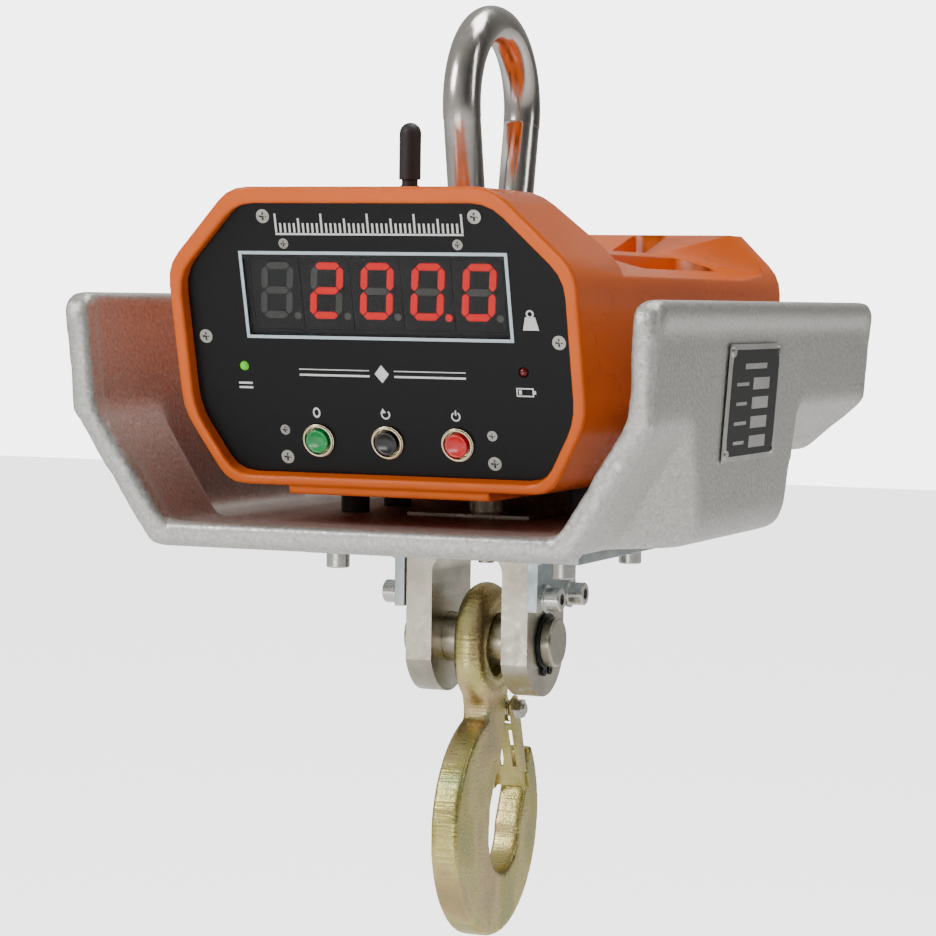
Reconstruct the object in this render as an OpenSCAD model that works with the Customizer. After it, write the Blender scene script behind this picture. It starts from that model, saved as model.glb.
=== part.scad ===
// Hanging crane scale: shackle, load cell, fork and eye hook carry the load;
// an orange casing with a slanted display stands in a cast guard tray.
// Heights are measured up from the hook pin's axis. hang() then puts the
// origin at the crown of the bow, where the crane's hook bears.

/* [Load path] */
// Height of the bow's bearing crown above the hook pin
crown_h = 335; // [325:1:360]
// Diameter of the bow's round bar
bow_bar_d = 21; // [18:0.5:23]
// Centre-line radius of the bow
bow_r = 46; // [42:1:50]
// Inward lean of the bow's legs, in degrees
bow_lean = 11; // [8:0.5:13]
// Clear width between the shackle's eyes
jaw_w = 48; // [46:1:54]
// Outer diameter of the shackle's eyes
bow_eye_d = 42; // [38:1:44]
// Shackle pin diameter
shackle_pin_d = 22; // [18:0.5:24]
// Height of the shackle pin above the hook pin
shackle_pin_h = 182; // [178:1:186]
// Largest swing of the bow to either side, in degrees
bow_swing = 10; // [5:1:12]
// Load cell width
cell_w = 70; // [60:1:80]
// Load cell height below the shackle pin
cell_drop = 80; // [76:1:82]
// Diameter of the stud between fork and load cell
stud_d = 20; // [16:1:24]

/* [Fork and hook] */
// Gap between the fork's cheeks
fork_gap = 42; // [36:1:48]
// Thickness of each cheek
cheek_t = 15.5; // [12:0.5:18]
// Width of the cheeks, front to back
fork_l = 58; // [50:1:62]
// Height of the fork's crown above the hook pin
fork_top = 72; // [70:1:76]
// Hook pin diameter
hook_pin_d = 28; // [24:0.5:30]
// How far the hook pin stands out of each cheek
pin_proud = 8; // [7:0.5:10]
// Hook body thickness
hook_t = 16; // [13:0.5:20]
// Thickness of the hook's round eye
eye_bar = 18; // [15:0.5:20]
// Hook bowl radius
bowl_r = 22.5; // [20:0.5:24]
// Radius of the hook's back
hook_back_r = 64; // [62:0.5:70]
// Depth of the bowl's centre below the hook pin
bowl_h = 113; // [110:1:118]

/* [Tray] */
// Half width of the tray at its rim
tray_hw = 163; // [150:1:175]
// Length of the tray in front of the load axis
tray_front = 196; // [190:1:205]
// Length of the tray behind the load axis
tray_rear = 222; // [212:1:230]
// Height of the tray's rim above the hook pin
rim_h = 193; // [185:1:200]
// Wall thickness of the casting
tray_t = 8; // [6:0.5:10]
// Width of the raised bead around the edges
bead_w = 13; // [10:0.5:16]
// How far the bead stands proud of the wall
bead_proud = 3; // [2:0.5:4]

/* [Plate] */
// Plate width
plate_w = 161; // [150:1:175]
// Plate length, front to back
plate_l = 136; // [130:1:145]
// Plate and ear thickness
plate_t = 6; // [5:0.5:8]
// Half spacing of the plate's screws across
screw_x = 67; // [62:1:72]
// Half spacing of the plate's screws front to back
screw_y = 55; // [50:1:58]
// Nominal diameter of the plate's and ears' screws
screw_d = 8; // [6:1:8]

/* [Casing] */
// Casing width
casing_w = 228; // [220:1:240]
// Distance from the load axis to the casing's rear face
casing_rear = 190; // [182:1:200]
// Height of the hood's top above the hook pin
hood_h = 248; // [245:1:256]
// Height of the casing's underside in front
casing_low = 92; // [88:1:96]
// Height of the saddle that the bow comes out of
saddle_h = 220; // [218:1:226]
// Height of the rear deck
deck_h = 232; // [228:1:240]
// Casing wall thickness
wall = 3; // [2.5:0.5:4]
// Slope of the display panel from upright, in degrees
panel_tilt = 15; // [10:0.5:18]
// How far the bezel stands in front of the panel
bezel_proud = 8; // [6:0.5:10]
// Width of the bezel
bezel_w = 7; // [6:0.5:9]

/* [Panel] */
// Panel thickness
panel_t = 3; // [2:0.5:4]
// Window width
window_w = 147; // [144:1:156]
// Window height
window_l = 43.5; // [42:0.5:48]
// Digit module width
digit_w = 27.8; // [26:0.1:28]
// Digit module height
digit_l = 38; // [36:0.5:40]
// Digit module pitch
digit_pitch = 28.4; // [28.2:0.1:29]
// Button spacing
button_pitch = 39.5; // [30:0.5:45]
// Button bezel outer diameter
button_d = 18; // [16:0.5:22]
// Button cap diameter
cap_d = 12.6; // [12:0.2:14]
// Button travel
button_travel = 1.5; // [1:0.1:2]

/* [Hidden] */
$fn = 64;

// Clearances: between a turning eye and its pin, round a fitted part, and for a screw in its hole
run_fit = 0.06;
slip = 0.25;
screw_gap = 0.5;

// Levels and places worked out from the sizes above
bar_r = bow_bar_d / 2;
bow_z = crown_h - bow_r + bar_r;
leg_y = jaw_w / 2 + bar_r;
bend_z = bow_z - bow_r * sin(bow_lean) - (bow_r * cos(bow_lean) - leg_y) / tan(bow_lean);
// the eyes stand a little proud of the bar; the bar's lengths differ slightly where they meet
eye_proud = 0.4;
eye_end = leg_y + bar_r + eye_proud;
weld = 0.2;
cell_t = jaw_w - 2;
cell_low = shackle_pin_h - cell_drop;
cell_top_r = shackle_pin_d / 2 + 13;
fork_w = fork_gap + 2 * cheek_t;
fork_floor = fork_top - 22;
plate_z = fork_floor;
ear_x = fork_w / 2 + 0.4;
ear_h = 31;
ear_l = fork_l + 4;
ear_screw_y = 19;
ear_screw_z = plate_z - 24;
pin_half = fork_w / 2 + pin_proud;
floor_z = plate_z + plate_t;
front_kink = 131;
rear_floor = 105;
bulge_front = 88;
bulge_rear = 72;
ramp_front = 28;
ramp_rear = 12;
case_x = casing_w / 2;
side_h = hood_h - 41;
rear_low = rear_floor + tray_t + 12;
hood_back = -118;
panel_y = -150;
panel_z = 150;
slot_y = leg_y + (saddle_h - bend_z > 0 ? (saddle_h - bend_z) * tan(bow_lean) : 0);
slot_x = bar_r + (saddle_h + 4 - shackle_pin_h) * tan(bow_swing) + 2;
v_top = (hood_h - bezel_w - panel_z) / cos(panel_tilt);
v_bottom = (casing_low + bezel_w - panel_z) / cos(panel_tilt);
window_v = v_top - 50.2;
button_v = v_bottom + 18.2;
lamp_x = case_x - 35;
lamp_v = 5;
eye_hole_r = hook_pin_d / 2 + run_fit;
hook_turn = 1.8;
eye_drop = 7;
latch_y = 22;
latch_z = -43;
latch_r = 3;

module hang() translate([0, 0, -crown_h]) children();

// Puts a drawing in the XZ plane and extrudes it from y0 to y1
module along_y(y0, y1) translate([0, y1, 0]) rotate([90, 0, 0]) linear_extrude(y1 - y0) children();

// Puts a drawing in the YZ plane and extrudes it from x0 to x1
module along_x(x0, x1) translate([x0, 0, 0]) rotate([90, 0, 90]) linear_extrude(x1 - x0) children();

// A cylinder lying along X or Y
module rod_x(r, x0, x1) translate([x0, 0, 0]) rotate([0, 90, 0]) cylinder(r = r, h = x1 - x0);
module rod_y(r, y0, y1) translate([0, y1, 0]) rotate([90, 0, 0]) cylinder(r = r, h = y1 - y0);

// Copies to both sides of the middle plane
module both_sides() {
    children();
    mirror([1, 0, 0]) children();
}

// The sloping panel's own frame: X across, Y up the panel, Z out towards the reader
module on_panel() translate([0, panel_y, panel_z]) rotate([90 + panel_tilt, 0, 0]) children();

module round_rect(w, l, r) {
    square([w - 2 * r, l], center = true);
    square([w, l - 2 * r], center = true);
    for (sx = [-1, 1], sy = [-1, 1]) translate([sx * (w / 2 - r), sy * (l / 2 - r)]) circle(r);
}

module hexagon(across) circle(d = across / cos(30), $fn = 6);

// Socket-head cap screw, head below, shank pointing up +Z from the seat at z = 0
module cap_screw(d, shank) {
    head = d * 1.625;
    difference() {
        union() {
            cylinder(d = d, h = shank);
            translate([0, 0, -d]) cylinder(d = head, h = d);
            translate([0, 0, -d - 0.6]) cylinder(d1 = head - 1.2, d2 = head, h = 0.6, $fn = 48);
        }
        translate([0, 0, -d - 1]) linear_extrude(d * 0.5 + 1) hexagon(d * 0.75);
    }
}

// Countersunk cross-recess screw, head at z = 0 facing +Z
module panel_screw(d, shank) {
    difference() {
        union() {
            translate([0, 0, -d * 0.45]) cylinder(d1 = d, d2 = d * 1.85, h = d * 0.45, $fn = 40);
            translate([0, 0, -shank]) cylinder(d = d, h = shank - d * 0.45 + 0.01);
        }
        for (a = [0, 90]) rotate(a) translate([-d * 0.52, -d * 0.13, -d * 0.38]) cube([d * 1.04, d * 0.26, d]);
    }
}

/* ---- shackle ---- */

// Straight length above the eye, the bend, and the leaning length up to the arc
module bow_leg() {
    lean_len = norm([bow_r * cos(bow_lean) - leg_y, bow_z - bow_r * sin(bow_lean) - bend_z]);
    translate([0, leg_y, shackle_pin_h]) cylinder(r = bar_r, h = bend_z - shackle_pin_h);
    translate([0, leg_y, bend_z]) sphere(bar_r + weld);
    translate([0, leg_y, bend_z]) rotate([-bow_lean, 0, 0]) cylinder(r = bar_r - weld, h = lean_len + 1);
}

module shackle_bow() color("lightgray") hang() {
    difference() {
        union() {
            translate([0, 0, bow_z]) rotate([90, 0, 90])
                rotate([0, 0, -bow_lean]) rotate_extrude(angle = 180 + 2 * bow_lean)
                    translate([bow_r, 0]) circle(bar_r);
            for (s = [0, 1]) mirror([0, s, 0]) {
                bow_leg();
                translate([0, 0, shackle_pin_h]) rod_y(bow_eye_d / 2, leg_y - bar_r - eye_proud, eye_end);
            }
        }
        translate([0, 0, shackle_pin_h]) rod_y(shackle_pin_d / 2 + slip, -leg_y - 20, leg_y + 20);
    }
}

module shackle_pin() color("silver") hang() translate([0, 0, shackle_pin_h]) {
    difference() {
        union() {
            rod_y(shackle_pin_d / 2, -eye_end - 1, eye_end + 18);
            rod_y(shackle_pin_d / 2 + 5, -eye_end - 9, -eye_end - 0.5);
        }
        translate([0, eye_end + 14, -shackle_pin_d]) cylinder(r = 2, h = 2 * shackle_pin_d);
    }
}

module shackle_nut() color("silver") hang() translate([0, 0, shackle_pin_h]) difference() {
    along_y(eye_end + 0.3, eye_end + 10) hexagon(shackle_pin_d * 1.5);
    rod_y(shackle_pin_d / 2, eye_end - 1, eye_end + 12);
}

module shackle_cotter() color("gray") hang() {
    translate([0, eye_end + 14, shackle_pin_h]) {
        translate([0, 0, -shackle_pin_d / 2 - 6]) cylinder(r = 1.7, h = shackle_pin_d + 8);
        translate([0, 0, shackle_pin_d / 2 + 4.5]) rotate([90, 0, 0])
            rotate_extrude() translate([3, 0]) circle(1.4, $fn = 24);
    }
}

/* ---- load cell and fork ---- */

module load_cell() color("gainsboro") hang() difference() {
    along_y(-cell_t / 2, cell_t / 2) {
        translate([-cell_w / 2, cell_low]) square([cell_w, cell_drop - 8]);
        translate([-cell_top_r, cell_low]) square([2 * cell_top_r, cell_drop]);
        translate([0, shackle_pin_h]) circle(cell_top_r);
    }
    // the eye that turns on the shackle pin
    translate([0, 0, shackle_pin_h]) rod_y(shackle_pin_d / 2 + run_fit, -cell_t, cell_t);
    // two slots from opposite sides leave the bending beam
    along_y(-cell_t, cell_t) {
        translate([-cell_w / 2 - 1, cell_low + 24]) square([cell_w - 14, 4]);
        translate([-cell_w / 2 + 15, cell_low + 52]) square([cell_w, 4]);
        translate([0, cell_low + 40]) circle(8);
    }
    translate([0, 0, cell_low - 1]) cylinder(d = stud_d, h = 24);
}

module fork_stud() color("silver") hang() {
    translate([0, 0, fork_floor]) cylinder(d = stud_d, h = cell_low + 20 - fork_floor);
    // burred end and centre pip inside the gap
    translate([0, 0, fork_floor - 3]) cylinder(d = stud_d - 1, h = 3.1);
    translate([0, 0, fork_floor - 7]) cylinder(d = 9, h = 4.1);
}

module stud_lock_nut() color("silver") hang() translate([0, 0, cell_low - 12]) difference() {
    linear_extrude(11.6) hexagon(stud_d * 1.5);
    translate([0, 0, -1]) cylinder(d = stud_d, h = 14);
}

module cheek_outline() {
    translate([-fork_l / 2, 0]) square([fork_l, fork_top]);
    intersection() {
        circle(fork_l / 2 + 2);
        translate([-fork_l / 2, -fork_l]) square([fork_l, fork_l]);
    }
}

// The gap between the cheeks, with rounded inner corners
module fork_gap_outline() {
    r = 11;
    translate([-fork_gap / 2, -fork_l]) square([fork_gap, fork_l + fork_floor - r]);
    translate([-fork_gap / 2 + r, 0]) square([fork_gap - 2 * r, fork_floor]);
    for (s = [-1, 1]) translate([s * (fork_gap / 2 - r), fork_floor - r]) circle(r);
}

module fork() color("lightgray") hang() difference() {
    along_x(-fork_w / 2, fork_w / 2) cheek_outline();
    along_y(-fork_l, fork_l) fork_gap_outline();
    rod_x(hook_pin_d / 2 + slip, -fork_w, fork_w);
    cylinder(d = stud_d, h = fork_top + 1);
    for (s = [-1, 1], y = [-1, 1]) translate([0, y * ear_screw_y, ear_screw_z])
        rod_x(screw_d / 2, s > 0 ? fork_w / 2 - 12 : -fork_w / 2 - 1, s > 0 ? fork_w / 2 + 1 : -fork_w / 2 + 12);
}

clip_w = 1.5;
clip_x = fork_w / 2 + 0.4;
module hook_pin() color("silver") hang() difference() {
    union() {
        rod_x(hook_pin_d / 2, -pin_half + 1, pin_half - 1);
        for (s = [0, 1]) mirror([s, 0, 0]) translate([pin_half - 1, 0, 0]) rotate([0, 90, 0])
            cylinder(r1 = hook_pin_d / 2, r2 = hook_pin_d / 2 - 1, h = 1);
    }
    both_sides() difference() {
        rod_x(hook_pin_d, clip_x, clip_x + clip_w);
        rod_x(hook_pin_d / 2 - 1.5, clip_x - 1, clip_x + clip_w + 1);
    }
}

module hook_pin_circlips() color("dimgray") hang() both_sides() difference() {
    union() {
        rod_x(hook_pin_d / 2 + 2, clip_x + 0.1, clip_x + clip_w - 0.1);
        for (y = [-4.5, 4.5]) translate([0, y, -hook_pin_d / 2 - 2]) rod_x(3, clip_x + 0.1, clip_x + clip_w - 0.1);
    }
    rod_x(hook_pin_d / 2 - 1.5, clip_x - 1, clip_x + clip_w + 1);
    translate([clip_x - 1, -2, -hook_pin_d]) cube([clip_w + 2, 4, hook_pin_d]);
    for (y = [-4.5, 4.5]) translate([0, y, -hook_pin_d / 2 - 2.4]) rod_x(0.9, clip_x - 1, clip_x + clip_w + 1);
}

/* ---- hook and latch ---- */

// Flat-cut body: round back, bowl, throat and horn, and the boss that carries the latch
module hook_outline() {
    bowl_y = 11;
    difference() {
        union() {
            translate([2, -hook_back_r - 42]) circle(hook_back_r);
            polygon([[-16, -30], [-14, -42], [-17, -50], [10, -80], [15, -50], [18, -30]]);
        }
        translate([bowl_y, -bowl_h]) circle(bowl_r);
        // throat between shank and horn
        polygon([[bowl_y - bowl_r, -bowl_h], [-10, -96], [-4, -84], [6, -71], [13.5, -52], [17, -40],
                 [48, -40], [48, -76], [44, -92], [bowl_y + bowl_r, -bowl_h]]);
        // above the horn's rounded point
        difference() {
            translate([46, -76]) square([40, 50]);
            translate([54, -76]) circle(6);
        }
    }
    translate([latch_y, latch_z]) circle(8);
}

// Turned so that its own weight hangs straight below the pin
module balanced() rotate([hook_turn, 0, 0]) children();

module hook() color("darkkhaki") hang() balanced() difference() {
    union() {
        along_x(-hook_t / 2, hook_t / 2) hook_outline();
        // long round eye: the pin bears in its upper end
        for (drop = [0, eye_drop]) translate([0, 0, -drop]) rotate([0, 90, 0]) rotate_extrude() {
            translate([eye_hole_r + eye_bar / 2, 0]) circle(eye_bar / 2);
            translate([eye_hole_r - 1, -eye_bar / 2 + 3]) square([eye_bar / 2, eye_bar - 6]);
        }
        for (s = [-1, 1]) translate([0, s * (eye_hole_r + eye_bar / 2), -eye_drop])
            cylinder(r = eye_bar / 2 - weld / 2, h = eye_drop);
    }
    for (drop = [0, eye_drop]) translate([0, 0, -drop]) rod_x(eye_hole_r, -eye_bar, eye_bar);
    translate([-eye_bar, -eye_hole_r, -eye_drop]) cube([2 * eye_bar, 2 * eye_hole_r, eye_drop]);
    // the neck is cut thin at the latch, leaving room for the spring
    for (s = [-1, 1]) translate([s > 0 ? 4.5 : -20, latch_y - 9, latch_z - 7.5]) cube([15.5, 18, 15]);
    translate([0, latch_y, latch_z]) rod_x(latch_r + run_fit, -20, 20);
}

latch_len = 53;
latch_in = hook_t / 2 + 0.4;
latch_sheet = 1.6;
latch_tilt = 20;

// The latch's own frame: its pivot at the origin, X across, -Z down the latch
module at_latch() translate([0, latch_y, latch_z]) rotate([latch_tilt, 0, 0]) children();

module latch() color("darkkhaki") hang() balanced() difference() {
    at_latch() {
        both_sides() along_x(latch_in, latch_in + latch_sheet)
            polygon([[-6, 5], [-3, 7], [3, 7], [6, 5], [6, -14], [3.4, -latch_len], [-2.6, -latch_len], [-6, -10]]);
        difference() {
            union() {
                translate([-latch_in - 0.1, 1.8, -latch_len]) cube([2 * latch_in + 0.2, latch_sheet, latch_len - 12]);
                translate([-latch_in - 3, 1.8, -latch_len]) cube([2 * latch_in + 6, latch_sheet, 9]);
            }
            both_sides() translate([2.6, 0, -latch_len + 13]) cube([2.2, 10, 24]);
        }
    }
    translate([0, latch_y, latch_z]) rod_x(latch_r + run_fit, -20, 20);
}

module latch_bolt() color("silver") hang() balanced() translate([0, latch_y, latch_z]) {
    end = latch_in + latch_sheet;
    rod_x(latch_r, -end - 0.1, end + 6.5);
    along_x(-end - 4.2, -end - 0.1) hexagon(10);
}

module latch_nut() color("silver") hang() balanced() translate([0, latch_y, latch_z]) {
    end = latch_in + latch_sheet;
    difference() {
        along_x(end + 0.1, end + 5) hexagon(10);
        rod_x(latch_r, 0, 30);
    }
}

// Two small coils beside the neck, each with its two legs
module latch_spring() color("gray") hang() balanced() translate([0, latch_y, latch_z]) both_sides() {
    for (i = [0:1]) translate([5.4 + i * 1.25, 0, 0]) rotate([0, 90, 0])
        rotate_extrude() translate([latch_r + 1.1, 0]) circle(0.6, $fn = 16);
    translate([6.65, latch_r + 1.1, -7.4]) cylinder(r = 0.5, h = 7.4, $fn = 16);
}

/* ---- guard tray ---- */

function wall_x(z) = tray_hw - (rim_h - z) * 0.07;
tray_low = floor_z + 7;
tray_in = tray_low + tray_t;
front_x = tray_hw - 47;
rear_x = tray_hw - 39;

// Half outlines of the trough, grown by o; negative o gives the inside
function front_half(o) = [[0, tray_low - o], [front_x + o * 0.6, tray_low - o],
    [wall_x(front_kink) + o, front_kink - o * 0.3], [wall_x(rim_h) + o, rim_h + 20]];
function middle_half(o) = [[0, tray_low - o], [wall_x(tray_low) - 14 + o * 0.4, tray_low - o],
    [wall_x(tray_low) - 4 + o * 0.7, tray_low + 4 - o * 0.7],
    [wall_x(tray_low) + o, tray_low + 14 - o * 0.4], [wall_x(rim_h) + o, rim_h + 20]];
function rear_half(o) = [[0, rear_floor - o], [rear_x + o * 0.5, rear_floor - o],
    [wall_x(front_kink + 4) + o, front_kink + 4 - o * 0.5], [wall_x(rim_h) + o, rim_h + 20]];

module whole(half) polygon(concat(half, [for (i = [len(half) - 1:-1:0]) [-half[i][0], half[i][1]]]));

// The steep ramps move back with the offset too, so that the wall there keeps its thickness
module trough(o) {
    front = bulge_front + o * 0.45;
    rear = bulge_rear + o * 0.75;
    along_y(-tray_front - 20, -front - ramp_front) whole(front_half(o));
    hull() {
        along_y(-front - ramp_front - 0.01, -front - ramp_front) whole(front_half(o));
        along_y(-front, -front + 0.01) whole(middle_half(o));
    }
    along_y(-front, rear) whole(middle_half(o));
    hull() {
        along_y(rear - 0.01, rear) whole(middle_half(o));
        along_y(rear + ramp_rear, rear + ramp_rear + 0.01) whole(rear_half(o));
    }
    along_y(rear + ramp_rear, tray_rear + 20) whole(rear_half(o));
}

// Side view of the trough: both ends lean outward, with round upper corners
end_lean = 18;
rim_r = 13;
module side_view(trim) {
    foot = end_lean - 2;
    front = -tray_front + end_lean * rim_r / rim_h;
    rear = tray_rear - foot * rim_r / rim_h;
    polygon([[-tray_front + end_lean + trim, 0], [front + trim, rim_h - rim_r], [front + rim_r, rim_h],
             [rear - rim_r, rim_h], [rear - trim, rim_h - rim_r], [tray_rear - foot - trim, 0]]);
    for (y = [front + rim_r, rear - rim_r]) translate([y, rim_h - rim_r]) circle(rim_r - trim);
}
module tray_ends() along_x(-tray_hw - 20, tray_hw + 20) side_view(0);

// Raised bead round one end, inside and out
module end_bead(front) intersection() {
    along_y(front ? -tray_front - 1 : 0, front ? 0 : tray_rear + 1) difference() {
        whole(front ? front_half(bead_proud) : rear_half(bead_proud));
        translate([0, 0.02]) whole(front ? front_half(-tray_t - bead_proud) : rear_half(-tray_t - bead_proud));
    }
    along_x(-tray_hw - 20, tray_hw + 20) difference() {
        side_view(0);
        translate([0, -1]) side_view(bead_w);
        translate([-bulge_front, -1]) square([bulge_front + bulge_rear, rim_h + 2]);
    }
}

module fork_window(gap) cube([fork_w + 2 * gap, fork_l + 2 * gap, 400], center = true);

case_screw_x = 68;
case_screw_y = [-30, 30];
case_screw_d = 6;

module tray() color("lightgray") hang() difference() {
    union() {
        intersection() {
            difference() {
                trough(0);
                trough(-tray_t);
            }
            tray_ends();
        }
        end_bead(true);
        end_bead(false);
        intersection() {
            both_sides() translate([tray_hw - tray_t - 2, -tray_front, rim_h - 12])
                cube([tray_t + bead_proud + 2, tray_front + tray_rear, 12]);
            tray_ends();
        }
        translate([-plate_w / 2 - 6, -plate_l / 2 - 4, floor_z]) cube([plate_w + 12, plate_l + 8, tray_low - floor_z + 2]);
    }
    fork_window(3);
    for (x = [-1, 1], y = [-1, 1]) translate([x * screw_x, y * screw_y, floor_z - 1]) cylinder(d = screw_d, h = 15);
    for (x = [-1, 1], y = case_screw_y) translate([x * case_screw_x, y, 0]) {
        cylinder(d = case_screw_d + 2 * screw_gap, h = 100);
        translate([0, 0, floor_z - 1]) cylinder(d = case_screw_d * 1.625 + 1, h = 8);
    }
    translate([0, 0, rim_h]) linear_extrude(60) square([900, 900], center = true);
}

module tray_plate() color("silver") hang() {
    difference() {
        translate([-plate_w / 2, -plate_l / 2, plate_z]) cube([plate_w, plate_l, plate_t]);
        fork_window(0.4);
        for (x = [-1, 1], y = [-1, 1]) translate([x * screw_x, y * screw_y, plate_z - 1])
            cylinder(r = screw_d / 2 + screw_gap, h = plate_t + 2);
        // clearance for the casing screws' heads
        for (x = [-1, 1], y = case_screw_y) translate([x * case_screw_x, y, 0])
            cylinder(d = case_screw_d * 1.625 + 1, h = 100);
    }
    // welded ears that take the side screws
    both_sides() difference() {
        union() {
            translate([ear_x, -ear_l / 2, plate_z - ear_h]) cube([plate_t, ear_l, ear_h]);
            intersection() {
                translate([ear_x + plate_t, 0, plate_z]) rod_y(4, -ear_l / 2, ear_l / 2);
                translate([ear_x, -ear_l, plate_z - 10]) cube([20, 2 * ear_l, 10]);
            }
        }
        for (y = [-1, 1]) translate([0, y * ear_screw_y, ear_screw_z])
            rod_x(screw_d / 2 + screw_gap, ear_x - 1, ear_x + plate_t + 1);
    }
}

module plate_screws() color("silver") hang()
    for (x = [-1, 1], y = [-1, 1]) translate([x * screw_x, y * screw_y, plate_z]) cap_screw(screw_d, plate_t + 12);

washer_t = 1.6;
module ear_screws() color("silver") hang() both_sides()
    for (y = [-1, 1]) translate([ear_x + plate_t + washer_t, y * ear_screw_y, ear_screw_z])
        rotate([0, -90, 0]) cap_screw(screw_d, plate_t + washer_t + 11);

module ear_washers() color("silver") hang() both_sides()
    for (y = [-1, 1]) translate([0, y * ear_screw_y, ear_screw_z]) difference() {
        rod_x(screw_d, ear_x + plate_t, ear_x + plate_t + washer_t);
        rod_x(screw_d / 2 + 0.3, ear_x, ear_x + 20);
    }

/* ---- casing ---- */

belly_x = 57;
belly_drop = 4.5;

// Rounds a half outline's corners off with short chords, a given length back from each corner
function eased(p, back) = [p[0], for (i = [1:len(p) - 2], k = [0:3])
    let (a = p[i] + back * unit(p[i - 1] - p[i]), c = p[i] + back * unit(p[i + 1] - p[i]), f = k / 3)
    (1 - f) * (1 - f) * a + 2 * f * (1 - f) * p[i] + f * f * c, p[len(p) - 1]];
function unit(v) = v / norm(v);

// Octagonal front view, shrunk by t
function case_half(t) = eased(case_corners(t), 10);
function case_corners(t) = [[0, casing_low + t], [case_x - 22 - t * 0.585, casing_low + t],
    [case_x - t, front_kink + t * 0.262], [case_x - t, side_h - t * 0.414],
    [case_x - 41 - t * 0.414, hood_h - t], [0, hood_h - t]];

function face_y(z, w) = panel_y - (z - panel_z) * tan(panel_tilt) - w / cos(panel_tilt);

// Side view, shrunk by t, with its sloping front w out from the panel
module case_side(t, w) polygon([[face_y(casing_low + t, w), casing_low + t], [face_y(hood_h - t, w), hood_h - t],
    [hood_back - t * 0.4, hood_h - t], [hood_back + 22 - t * 0.4, saddle_h - t], [118, saddle_h - t],
    [164, deck_h - t], [casing_rear - t, deck_h - t], [casing_rear - t, rear_low + t],
    [bulge_rear + 8 - t * 0.4, rear_low + t], [bulge_rear - 24 - t * 0.4, casing_low + t]]);

// Slopes each side of the saddle, which run out towards the rear deck
module saddle_sides(t) both_sides() hull() {
    along_y(hood_back + 22 - t, 118) polygon([[case_x - 54, saddle_h - t], [case_x + 1, side_h - 3 - t],
        [case_x + 20, 300], [case_x - 54, 300]]);
    along_y(164, 164.01) polygon([[case_x - 25, deck_h - t], [case_x + 1, side_h - t],
        [case_x + 20, 300], [case_x - 25, 300]]);
}

module case_form(t, w) difference() {
    intersection() {
        along_y(-400, 400) whole(case_half(t));
        along_x(-case_x - 10, case_x + 10) case_side(t, w);
    }
    saddle_sides(t);
}

// Four hand recesses in the saddle, grown by t
module recesses(t) both_sides() {
    translate([case_x - 32, 54, 194 - t]) linear_extrude(60) round_rect(27 + 2 * t, 142 + 2 * t, 11 + t);
    translate([40, 106, 202 - t]) linear_extrude(60) round_rect(22 + 2 * t, 118 + 2 * t, 8 + t);
}

module leg_slots() for (s = [-1, 1]) translate([0, s * slot_y, saddle_h - 20]) linear_extrude(60)
    square([2 * slot_x, bow_bar_d + 4], center = true);

// The panel's outline in the panel's own frame, shrunk by t
function panel_half(t) = [for (p = case_half(bezel_w + t)) [p[0], (p[1] - panel_z) / cos(panel_tilt)]];
module panel_outline(t) whole(panel_half(t));

big_screws = [[case_x - 55, v_top - 8.2], [case_x - 14.5, 21],
    [button_pitch + 19.5, v_bottom + 8.3]];
small_screws = [[case_x - 65.3, v_top - 22.7], [button_pitch + 19.3, v_bottom + 23.3]];
cover_w = casing_w - 68;
cover_h = 74;
cover_z = (rear_low + deck_h) / 2 - 2;
cover_screws = [for (x = [-1, 0, 1], z = [-1, 1]) [x * (cover_w / 2 - 6), z * (cover_h / 2 - 6)]];
socket_x = case_x - 17;
board_x = case_x - 44;
antenna_x = -50;

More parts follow.
